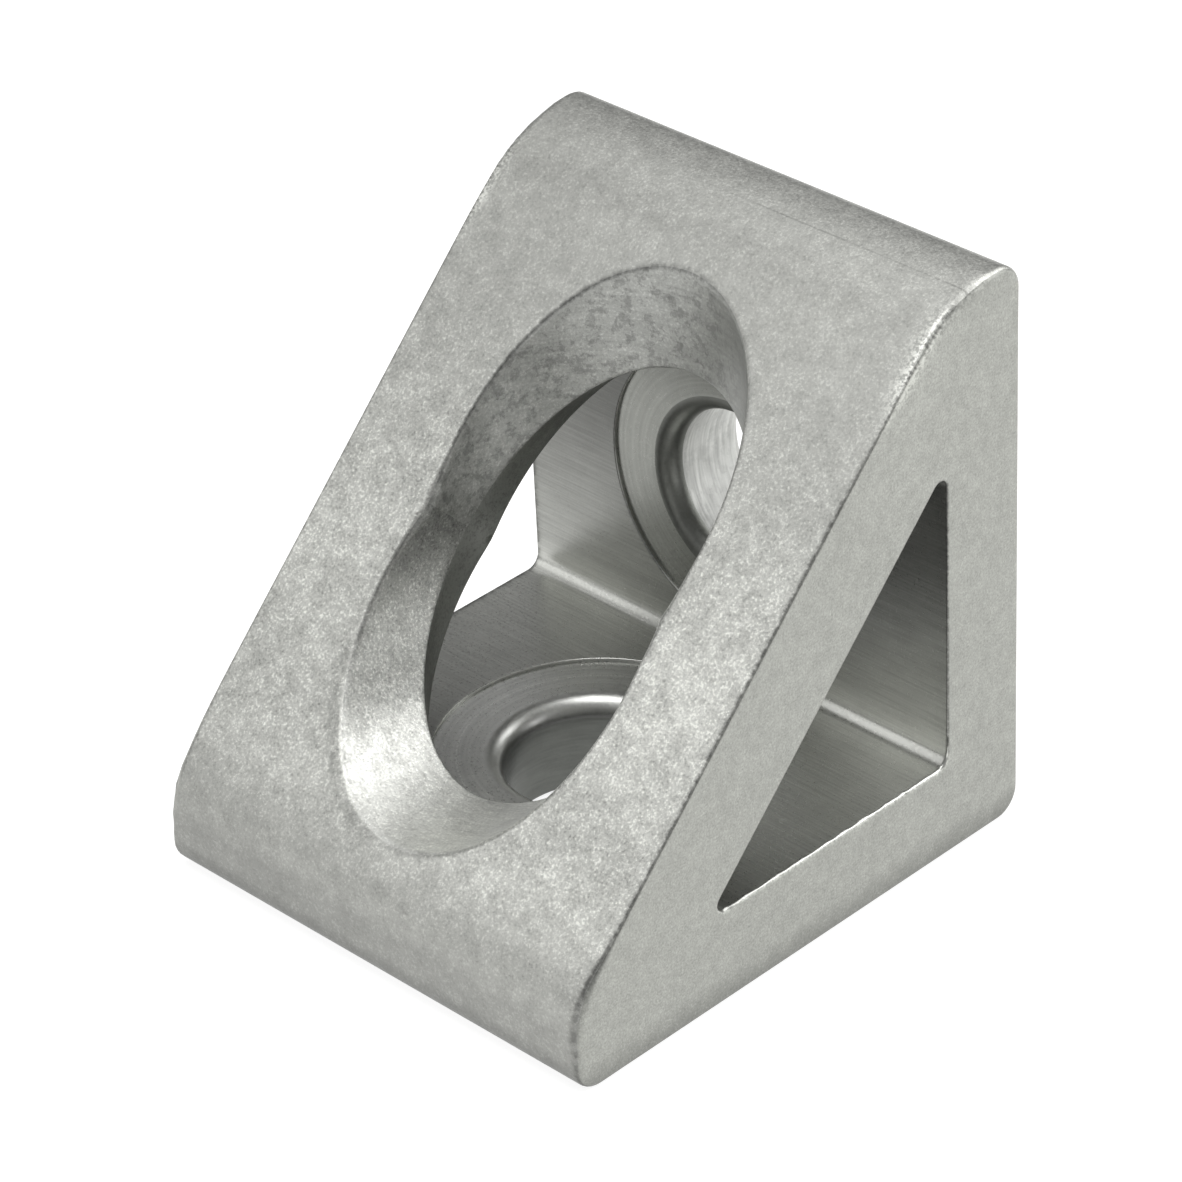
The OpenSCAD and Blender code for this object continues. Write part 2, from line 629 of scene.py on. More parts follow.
    def sheet(self, zone: Zone, x: Array, a: Array, b: Array, settles: bool = True) -> Sheet:
        """A sheet from this lobe's own coordinates."""
        u, v = (a, b) if self.upper else (b, a)
        return Sheet(zone, x, u + self.sizes.hole_u, v + self.sizes.hole_v, settles)

    def sheets(self, rows: Rows) -> list[Sheet]:
        """Every sheet of the lobe on the side x of 0 and more.

        Formula: on a cutter's wall, x is the radius times the sine of the angle, and the other radial part
        the radius times its cosine. Rows run along the cutter's axis from one meeting line to the next.

        Args:
            rows: distances of the rows beside rounded edges.

        Returns:
            The sheets.
        """

        def between(first: Array, last: Array, share: Array) -> Array:
            """Rows at given shares of the way from one line to another."""
            return first + (last - first) * share[:, None]

        s = self.sizes
        wall_zone, seat_zone, mouth_zone, hole_zone = self.zones
        seat = s.seat - self.cross[0]

        x, radial = self.wall(self.outer_angles)
        down = graded(self.rise, np.array(rows.rim) * ROOT_TWO, rows.fine, self.outer_rows)
        made = [self.sheet(wall_zone, x, -radial, between(self.rise + radial, np.abs(radial), down))]

        x, radial = self.wall(self.inner_angles)
        down = graded(self.drop, rows.fine, rows.fine, self.inner_rows)
        made.append(self.sheet(Zone.UNDERCUT, x, between(-np.abs(radial), self.trace(), down), radial))

        x, radial = self.wall(self.tip_angles)
        tip = np.full_like(radial, self.on_arc(np.array(0.0))[0])
        made.append(self.sheet(Zone.UNDERCUT, x, between(-radial, tip, down), radial))

        tops = joined(tip, self.step_top())
        x, radial = self.wall(self.seat_angles)
        low = between(tops, np.full_like(tops, seat), np.array(rows.step_shares))
        made.append(self.sheet(Zone.STEP, x, low, radial))

        outer_r = s.hole_r + s.mouth_r
        turns = np.linspace(0, math.pi / 2, self.mouth_rows)
        ring = s.access_r - s.ring_inset + np.array(rows.ring)
        face = np.sort(np.concatenate([np.linspace(s.access_r, outer_r, self.seat_rows), ring]))[::-1]
        deep = graded(s.seat - s.mouth_r, (0,), rows.hole, self.bore_rows)
        rim_level = seat - s.mouth_r
        radii = joined(face, outer_r - s.mouth_r * np.sin(turns))
        levels = joined(np.full_like(face, seat), seat - s.mouth_r * (1 - np.cos(turns)))
        depth = (rim_level + self.cross[0]) * (1 - deep) - self.cross[0]
        bore = np.full_like(depth, s.hole_r)
        faced, plain = len(face), len(depth) - len(rows.hole)
        for zone, radius, level, part, settles in (
            (seat_zone, radii, levels, slice(0, faced), False),
            (mouth_zone, radii, levels, slice(faced - 1, None), False),
            (hole_zone, bore, depth, slice(0, plain + 1), False),
            (hole_zone, bore, depth, slice(plain, None), True),
        ):
            row, deep_row = radius[part][:, None], level[part][:, None]
            sine, cosine = np.sin(self.seat_angles), np.cos(self.seat_angles)
            made.append(self.sheet(zone, row * sine, deep_row + 0 * sine, row * cosine, settles))
        return made


def path_line(start: tuple[float, float], end: tuple[float, float], steps: int) -> Array:
    """Points of a straight stretch in the side view, at even steps."""
    first, last = np.asarray(start), np.asarray(end)
    return first + (last - first) * np.linspace(0, 1, steps + 1)[:, None]


def path_arc(centre: tuple[float, float], radius: float, start: float, end: float, steps: int) -> Array:
    """Points of an arc in the side view, from one angle in degrees to another."""
    turn = np.radians(np.linspace(start, end, steps + 1))
    return np.asarray(centre) + radius * np.stack([np.cos(turn), np.sin(turn)], axis=-1)


def loop_normals(loop: Array) -> Array:
    """Outward normals of a closed clockwise loop.

    Formula: the chord from the point before to the point after, turned a quarter turn to the left.

    Args:
        loop: N by 2 array of u and v, whose last point isn't a repeat of its first.

    Returns:
        N by 2 array of unit normals.
    """
    chord = np.roll(loop, -1, axis=0) - np.roll(loop, 1, axis=0)
    normal = np.stack([-chord[:, 1], chord[:, 0]], axis=-1)
    return normal / np.linalg.norm(normal, axis=1, keepdims=True)


@dataclass(frozen=True)
class Outside:
    """The outer faces: slope with noses, front, bottom, back and top, each on the side x of 0 and more."""

    sizes: Sizes
    upper: Lobe
    lower: Lobe
    rows: Rows
    mid_steps: int = 20
    columns: int = 32
    corner_steps: int = 8
    front_steps: int = 3

    @property
    def nose_lengths(self) -> Triple:
        """Lengths of the top nose's arc, the flat slope and the front nose's arc."""
        s = self.sizes
        flat = (s.reach - s.land) * ROOT_TWO - (s.top_nose_r + s.front_nose_r) * EIGHTH_TAN
        return s.top_nose_r * math.pi / 4, flat, s.front_nose_r * math.pi / 4

    def slope_place(self, length: Array) -> Pair:
        """u and v at a length along the slope and its noses, from the top of the back leg.

        Formula: on a nose, the arc's centre plus the radius at the angle that the length has turned. On the
        flat, the nose's end plus the length along a line at 45 degrees.

        Args:
            length: lengths in millimetres.

        Returns:
            u and v.
        """
        s = self.sizes
        top, flat, _ = self.nose_lengths
        top_r, front_r = s.top_nose_r, s.front_nose_r
        top_u, top_v = s.land - top_r * EIGHTH_TAN, s.height - top_r
        front_u, front_v = s.reach - front_r, s.land - front_r * EIGHTH_TAN
        top_turn = math.pi / 2 - np.clip(length / top_r, 0, math.pi / 4)
        front_turn = math.pi / 4 - np.clip((length - top - flat) / front_r, 0, math.pi / 4)
        along = np.clip(length - top, 0, flat) / ROOT_TWO
        on_nose, beyond = length < top, length > top + flat
        u = np.where(on_nose, top_u + top_r * np.cos(top_turn), top_u + top_r / ROOT_TWO + along)
        v = np.where(on_nose, top_v + top_r * np.sin(top_turn), top_v + top_r / ROOT_TWO - along)
        u = np.where(beyond, front_u + front_r * np.cos(front_turn), u)
        return u, np.where(beyond, front_v + front_r * np.sin(front_turn), v)

    def rim(self, offset: float) -> Pair:
        """Figure-8 line on the slope, a given distance outside the opening.

        Formula: two ellipses as wide as the cutter and longer by the root of two, each grown by the offset
        and run from its end to the waist where the two cross.

        Args:
            offset: distance outside the opening.

        Returns:
            Length along the slope, and x.
        """
        s = self.sizes
        top = self.nose_lengths[0]
        start_u = float(self.slope_place(np.array(top))[0])
        half_gap = self.upper.rise / ROOT_TWO
        upper_centre = top + (s.hole_u - start_u) * ROOT_TWO
        lower_centre = upper_centre + 2 * half_gap
        long_r, short_r = s.access_r * ROOT_TWO + offset, s.access_r + offset
        waist = math.acos(-half_gap / long_r)
        angles = [lobe.outer_angles for lobe in (self.upper, self.lower)]
        first, last = (turns * (waist / turns[-1]) for turns in angles)
        last = last[::-1]
        length = joined(upper_centre - long_r * np.cos(first), lower_centre + long_r * np.cos(last))
        return length, joined(short_r * np.sin(first), short_r * np.sin(last))

    @property
    def across(self) -> Array:
        """x at the columns of a border, crowded at the cut end."""
        half = self.sizes.half_width
        return half * graded(half, (0,), self.rows.end, self.columns - len(self.rows.end) + 1)

    def spread(self, near: Callable[[float], Pair], beside: Sequence[float], total: float) -> Pair:
        """Rows from an opening's edge out to a face's border.

        Formula: the first rows are the opening's line at rising distances. The rest are straight blends of
        the last such line and the border, which runs out along the face's start, down its side and back
        along its end.

        Args:
            near: gives the opening's line at a distance outside it.
            beside: the distances of the first rows.
            total: the face's length.

        Returns:
            Length along the face, and x, as rows by columns.
        """
        close = [near(offset) for offset in beside]
        length, x = close[-1]
        first, half = self.across, self.sizes.half_width
        side = np.linspace(0, total, len(length) - 2 * self.columns)
        border = joined(np.zeros_like(first), side, np.full_like(first, total))
        border_x = joined(first, np.full_like(side, half), first[::-1])
        gap = float(np.min(half - x[len(x) // 3: len(x) // 2]))
        share = graded(gap, (0,), self.rows.end, self.mid_steps)[1:, None]
        lengths = np.vstack([row[0] for row in close] + [length + (border - length) * share])
        return lengths, np.vstack([row[1] for row in close] + [x + (border_x - x) * share])

    def slope(self) -> Sheet:
        """The sloped face and its two noses, round the figure-8 opening."""
        length, x = self.spread(self.rim, self.rows.rim, sum(self.nose_lengths))
        return Sheet(Zone.TUMBLED, x, *self.slope_place(length))

    def holed_face(self, lobe: Lobe) -> Sheet:
        """Outer face of a leg, round its screw hole.

        Formula: rows spread from a circle to the face's border, in lengths from the leg's far end, which
        are then turned into distances from the heel.

        Args:
            lobe: the lobe whose screw hole opens here.

        Returns:
            The sheet, whose columns run in clockwise order.
        """
        s = self.sizes
        angles = lobe.seat_angles
        size, centre = (s.height, s.hole_v) if lobe.upper else (s.reach, s.hole_u)
        total = size - 2 * s.corner_r
        middle = total - (centre - s.corner_r)

        def ring(offset: float) -> Pair:
            """A circle round the screw hole, a given distance outside it."""
            radius = s.hole_r + offset
            return middle - radius * np.cos(angles), radius * np.sin(angles)

        length, x = self.spread(ring, self.rows.hole, total)
        along = s.corner_r + total - length
        if lobe.upper:
            return Sheet(Zone.TUMBLED, x[:, ::-1], np.zeros_like(along), along[:, ::-1])
        return Sheet(Zone.TUMBLED, x, along, np.zeros_like(along))

    def strips(self) -> list[Sheet]:
        """The narrow faces in clockwise order.

        Formula: each is a path of straight stretches and arcs in the side view, carried across.

        Returns:
            The sheets of the front, the heel and the top.
        """
        s, steps = self.sizes, self.corner_steps
        c, h = s.corner_r, s.height
        front = joined(
            path_line((s.reach, s.land - s.front_nose_r * EIGHTH_TAN), (s.reach, c), self.front_steps),
            path_arc((s.reach - c, c), c, 0, -90, steps),
        )
        heel = path_arc((c, c), c, 270, 180, steps)
        top = joined(
            path_arc((c, h - c), c, 180, 90, steps),
            path_line((c, h), (s.land - s.top_nose_r * EIGHTH_TAN, h), 1),
        )
        across = self.across[None, :]
        return [Sheet(Zone.TUMBLED, across, path[:, :1], path[:, 1:]) for path in (front, heel, top)]

    def sheets(self) -> list[Sheet]:
        """Every outer sheet, in clockwise order from the slope."""
        front, heel, top = self.strips()
        return [self.slope(), front, self.holed_face(self.lower), heel, self.holed_face(self.upper), top]

    def end_loop(self) -> Array:
        """The outline's points where the outer sheets reach the cut end.

        Formula: a narrow sheet reaches it with its last column, and a wide one with the part of its last row
        that lies at the half width.

        Returns:
            N by 2 array of u and v, as a closed clockwise loop without a repeat.
        """
        lines = []
        for sheet in self.sheets():
            grid = sheet.grid
            narrow = grid.shape[1] == self.columns + 1
            line = grid[:, -1] if narrow else grid[-1][np.isclose(grid[-1][:, 0], self.sizes.half_width)]
            lines.append(line[:, 1:])
        return joined(*lines)[:-1]


@dataclass(frozen=True)
class Inside:
    """The tunnel's walls and the two cut ends."""

    sizes: Sizes
    upper: Lobe
    lower: Lobe
    rows: Rows
    heel_steps: int = 6
    leg_steps: int = 5
    wall_rows: int = 12

    def tunnel_line(self) -> tuple[Array, Array, Array]:
        """Side view of the tunnel in clockwise order from the heel.

        Formula: each leg's wall, corner and half of the sloping side are points where the cutter's wall
        meets them, and the heel is an arc.

        Returns:
            u, v and the opening's half width at each point.
        """
        s = self.sizes
        start = s.leg_wall + s.heel_r

        def leg(lobe: Lobe) -> tuple[Array, Array, Array]:
            """Points up a leg's wall, round the corner and down the sloping side.

            Args:
                lobe: the lobe in front of the leg.

            Returns:
                Distance from the leg's outer face, distance along the leg, and x.
            """
            seat = lobe.seat_angles[len(lobe.tip_angles) - 1:][::-1]
            x, radial = lobe.wall(joined(seat, lobe.inner_angles))
            heel_b = np.linspace(start - lobe.cross[1], radial[0], self.leg_steps)
            heel_a = np.full_like(heel_b, s.leg_wall - lobe.cross[0])
            a, b = joined(heel_a, lobe.step_top()[::-1], lobe.trace()), joined(heel_b, radial)
            return a + lobe.cross[0], b + lobe.cross[1], np.maximum(joined(0 * heel_b, x), 0)

        up_u, up_v, up_x = leg(self.upper)
        low_v, low_u, low_x = leg(self.lower)
        heel_u, heel_v = path_arc((start, start), s.heel_r, 270, 180, self.heel_steps).T
        lines = ((up_u, low_u, heel_u), (up_v, low_v, heel_v), (up_x, low_x, 0 * heel_u))
        return tuple(joined(up, low[::-1], heel) for up, low, heel in lines)

    def tunnel(self) -> Sheet:
        """The tunnel's walls, from the cut end in to the opening or the middle plane.

        Formula: straight blends of the cut end's line and the opening's half width.

        Returns:
            The sheet.
        """
        u, v, opening = self.tunnel_line()
        half = self.sizes.half_width
        gap, rows = half - self.sizes.access_r, self.rows
        share = graded(gap, rows.window, rows.fine, self.wall_rows)[:, None]
        return Sheet(Zone.EXTRUDED, half + (opening - half) * share, u, v)

    def end_rows(self, outline: Array) -> Pair:
        """Rows of the cut end beside its outer edge and beside the window.

        Args:
            outline: the outer edge as a closed clockwise loop.

        Returns:
            Outer rows and window rows, each as rows by points by 2.
        """
        u, v, _ = self.tunnel_line()
        window = np.stack([u, v], axis=-1)[:-1]
        inward, outward = (np.array(row)[:, None, None] for row in (self.rows.end, self.rows.window))
        return outline - loop_normals(outline) * inward, window + loop_normals(window) * outward


def zip_loops(outer: Array, inner: Array) -> Array:
    """Triangles of the band between two closed loops that hold unlike numbers of points.

    Formula: both loops' points are put in one order by their angle round the inner loop's middle. Each step
    to the next point of one loop makes a triangle with the other loop's latest point.

    Args:
        outer: N by 2 array of points.
        inner: M by 2 array of points.

    Returns:
        N + M by 3 array of indices, where the inner loop's points are numbered after the outer loop's.
    """
    middle = inner.mean(axis=0)
    turns = [np.arctan2(*(loop - middle).T) % (2 * math.pi) for loop in (outer, inner)]
    orders = [np.argsort(turn) for turn in turns]
    merged = np.concatenate([turn[order] for turn, order in zip(turns, orders)])
    is_outer = np.argsort(merged, kind="stable") < len(outer)

    def latest(flags: Array, order: Array, first: int) -> Pair:
        """Numbers of a loop's latest point and of the one before it, at each step."""
        seen = np.cumsum(flags)
        return order[(seen - 1) % len(order)] + first, order[(seen - 2) % len(order)] + first

    last_outer, before_outer = latest(is_outer, orders[0], 0)
    last_inner, before_inner = latest(~is_outer, orders[1], len(outer))
    stepped_outer = np.stack([before_outer, last_outer, last_inner], axis=-1)
    stepped_inner = np.stack([before_inner, last_inner, last_outer], axis=-1)
    return np.where(is_outer[:, None], stepped_outer, stepped_inner)


def added(name: str, data: bpy.types.ID) -> bpy.types.Object:
    """A new object with its data, in the scene."""
    placed = bpy.data.objects.new(name, data)
    bpy.context.scene.collection.objects.link(placed)
    return placed


@dataclass
class Skin:
    """Collects sheets into one closed mesh, mirrored about the middle plane."""

    body: RoundedBody
    merge_mm: float = 2e-4
    sharp_deg: float = 38.0
    parts: list[tuple[Array, Array, Array, Array]] = field(default_factory=list)
    count: int = 0

    def add(self, places: Array, corners: Array, zone: Zone, settles: bool = True) -> None:
        """Adds points and faces on one side, and their mirror image on the other.

        Args:
            places: N by 3 array of x, u and v.
            corners: faces by 4 array of indices into the points, with the last repeated in a triangle.
            zone: how the metal was worked.
            settles: whether the points move onto the tumbled surface.
        """
        on_middle = np.abs(places[:, 0]) < 1e-9
        for side in (1, -1):
            placed = places * (side, 1, 1)
            if settles:
                placed = self.body.settle(placed)
                placed[on_middle, 0] = 0
            zones = np.full(len(corners), int(zone), np.int32)
            # Each point also takes its shares of painted highlight and painted shade.
            self.parts.append((placed, corners + self.count, zones, self.body.marks(placed)))
            self.count += len(placed)

    def add_sheet(self, sheet: Sheet) -> None:
        """Adds a sheet's grid as quads."""
        grid = sheet.grid
        index = np.arange(grid[..., 0].size).reshape(grid.shape[:2])
        corners = np.stack([index[:-1, :-1], index[:-1, 1:], index[1:, 1:], index[1:, :-1]], axis=-1)
        self.add(grid.reshape(-1, 3), corners.reshape(-1, 4), sheet.zone, sheet.settles)

    def add_end(self, outer: Array, window: Array) -> None:
        """Adds the cut end: closed rows beside its outer edge and its window, and the band between them.

        Args:
            outer: rows beside the outer edge, as rows by points by 2.
            window: rows beside the window.
        """
        half = self.body.sizes.half_width
        for rows in (outer, window):
            closed = np.concatenate([rows, rows[:, :1]], axis=1)
            self.add_sheet(Sheet(Zone.CUT_END, np.array(half), closed[..., 0], closed[..., 1]))
        loops = np.concatenate([outer[-1], window[-1]] * 2)
        places = np.column_stack([np.full(len(loops), half), loops])
        triangles = zip_loops(outer[-1], window[-1])
        self.add(places, np.column_stack([triangles, triangles[:, 2] + len(loops) // 2]), Zone.CUT_END)

    def build(self, name: str) -> bpy.types.Object:
        """Makes the mesh, in metres and in the frame's own axes.

        Args:
            name: the piece's name.

        Returns:
            The new object.
        """
        points, faces, zones, marks = (np.concatenate(part) for part in zip(*self.parts))
        x, u, v = points.T
        places = np.stack([x, self.body.sizes.reach / 2 - u, v], axis=-1) * MM
        mesh = bpy.data.meshes.new(name)
        mesh.from_pydata(places.tolist(), [], faces.tolist())
        mesh.polygons.foreach_set("material_index", zones)
        # Stores the shares of painted highlight and painted shade for the finishes.
        for attribute, shares in zip((PAINTED_HIGHLIGHT, PAINTED_SHADE), marks.T):
            layer = mesh.attributes.new(attribute, "FLOAT", "POINT")
            layer.data.foreach_set("value", shares.astype(np.float32))
        work = bmesh.new()
        work.from_mesh(mesh)
        bmesh.ops.remove_doubles(work, verts=work.verts, dist=self.merge_mm * MM)
        bmesh.ops.dissolve_degenerate(work, edges=work.edges, dist=self.merge_mm * MM)
        bmesh.ops.recalc_face_normals(work, faces=work.faces)
        counts = len(work.verts), len(work.faces), sum(len(edge.link_faces) != 2 for edge in work.edges)
        log.info("%s: %d points, %d faces, %d open edges", name, *counts)
        work.to_mesh(mesh)
        work.free()
        mesh.shade_smooth()
        mesh.set_sharp_from_angle(angle=math.radians(self.sharp_deg))
        return added(name, mesh)


# Finishes


@dataclass
class Bench:
    """Adds shader nodes to one material and links them."""

    material: bpy.types.Material

    def node(self, kind: str, inputs: Optional[dict] = None, **settings: object) -> bpy.types.Node:
        """Adds a node.

        Args:
            kind: the node's type, without its common beginning.
            inputs: a value or an output to link, for each input's name or number.
            settings: properties to set.

        Returns:
            The node.
        """
        made = self.material.node_tree.nodes.new("ShaderNode" + kind)
        for name, value in settings.items():
            setattr(made, name, value)
        for key, value in (inputs or {}).items():
            if isinstance(value, Socket):
                self.material.node_tree.links.new(value, made.inputs[key])
            else:
                made.inputs[key].default_value = value
        return made

    def place(self) -> Socket:
        """Object coordinates, in metres."""
        return self.node("TexCoord").outputs["Object"]

    def axes(self) -> bpy.types.bpy_prop_collection:
        """Object coordinates one by one, as x, y and z."""
        return self.node("SeparateXYZ", {0: self.place()}).outputs

    def math(self, operation: str, first: object, second: object = 0.0) -> Socket:
        """A sum, product or other plain operation."""
        return self.node("Math", {0: first, 1: second}, operation=operation).outputs[0]

    def product(self, first: object, *others: object) -> Socket:
        """A value multiplied by others, one after another."""
        for other in others:
            first = self.math("MULTIPLY", first, other)
        return first

    def faded(self, value: object, fades: Sequence["Fade"]) -> Socket:
        """A value multiplied by the factor of each fade."""
        return self.product(value, *(fade.factor(self) for fade in fades))

    def fitted(self, value: object, low: float, high: float, start: float, end: float) -> Socket:
        """A value carried from one range to another, and held inside it."""
        inputs = {"Value": value, "From Min": low, "From Max": high, "To Min": start, "To Max": end}
        return self.node("MapRange", inputs).outputs[0]

    def vector(self, operation: str, inputs: dict, output: str = "Vector") -> Socket:
        """A plain operation on vectors."""
        return self.node("VectorMath", inputs, operation=operation).outputs[output]

    def mapped(self, vector: object, **changes: Sequence[float]) -> Socket:
        """Coordinates moved, turned or scaled."""
        return self.node("Mapping", {"Vector": vector, **changes}).outputs[0]

    def noise(self, vector: object, size_mm: float, detail: float = 2.0, rough: float = 0.5) -> Socket:
        """Soft noise whose features are about as large as the size."""
        inputs = {"Vector": vector, "Scale": 1 / (size_mm * MM), "Detail": detail, "Roughness": rough}
        return self.node("TexNoise", inputs).outputs[0]


@dataclass(frozen=True)
class ToolMarks:
    """Fine parallel or circular marks that a tool left."""

    spacing_mm: float
    depth_um: float
    along: Triple = (0.0, 0.0, 0.0)
    turn_deg: Triple = (0.0, 0.0, 0.0)
    rings_about: Optional[str] = None
    centre_mm: Triple = (0.0, 0.0, 0.0)
    shade: float = 0.0
    detail: float = 1.5
    drift_mm: float = 2.5

    def height(self, bench: Bench) -> Socket:
        """Noise that changes fast across the marks and slowly along them.

        Formula: for straight marks, the coordinates are scaled by how fast the marks change along each axis.
        For rings, the noise is read at the distance from the axis, with a slow noise as its second part.

        Args:
            bench: the material's bench.

        Returns:
            Heights from 0 to 1.
        """
        place = bench.mapped(bench.place(), Location=tuple(-value * MM for value in self.centre_mm))
        if self.rings_about is None:
            turned = bench.mapped(place, Rotation=tuple(math.radians(angle) for angle in self.turn_deg))
            return bench.noise(bench.mapped(turned, Scale=self.along), self.spacing_mm, self.detail)
        flat = (1, 1, 0) if self.rings_about == "z" else (1, 0, 1)
        radius = bench.vector("LENGTH", {0: bench.vector("MULTIPLY", {0: place, 1: flat})}, "Value")
        slow = bench.product(bench.noise(place, self.drift_mm, 1.0), 0.2 * MM)
        ringed = bench.node("CombineXYZ", {0: radius, 1: slow}).outputs[0]
        return bench.noise(ringed, self.spacing_mm, self.detail)


@dataclass(frozen=True)
class Fade:
    """A factor that changes evenly along an axis, by default with height, and is level past both ends."""

    low_mm: float
    high_mm: float
    low: float
    high: float
    axis: int = 2
    mirrored: bool = False

    def factor(self, bench: Bench) -> Socket:
        """The factor at each place."""
        place = bench.axes()[self.axis]
        if self.mirrored:
            place = bench.math("ABSOLUTE", place)
        return bench.fitted(place, self.low_mm * MM, self.high_mm * MM, self.low, self.high)


@dataclass(frozen=True)
class Scribe:
    """A faint dark line across the bracket, drawn by the die along the extrusion."""

    y_mm: float
    above_mm: float
    from_mm: float
    half_mm: float = 0.06
    run_in_mm: float = 5.0
    shade: float = 0.30

    def factor(self, bench: Bench) -> Socket:
        """One, less the shade where the line runs.

        Formula: a spike at the line's y times steps in x and in height, times a noise that breaks it up.

        Args:
            bench: the material's bench.

        Returns:
            The factor.
        """
        x, y, z = bench.axes()
        away = bench.math("ABSOLUTE", bench.math("SUBTRACT", y, self.y_mm * MM))
        spike = bench.fitted(away, 0.0, self.half_mm * MM, self.shade, 0.0)
        reach = bench.fitted(x, self.from_mm * MM, (self.from_mm + self.run_in_mm) * MM, 0.0, 1.0)
        high = bench.fitted(z, (self.above_mm - 0.1) * MM, self.above_mm * MM, 0.0, 1.0)
        broken = bench.fitted(bench.noise(bench.place(), 0.5, 2.0), 0.35, 0.55, 0.3, 1.0)
        return bench.math("SUBTRACT", 1.0, bench.product(spike, reach, high, broken))


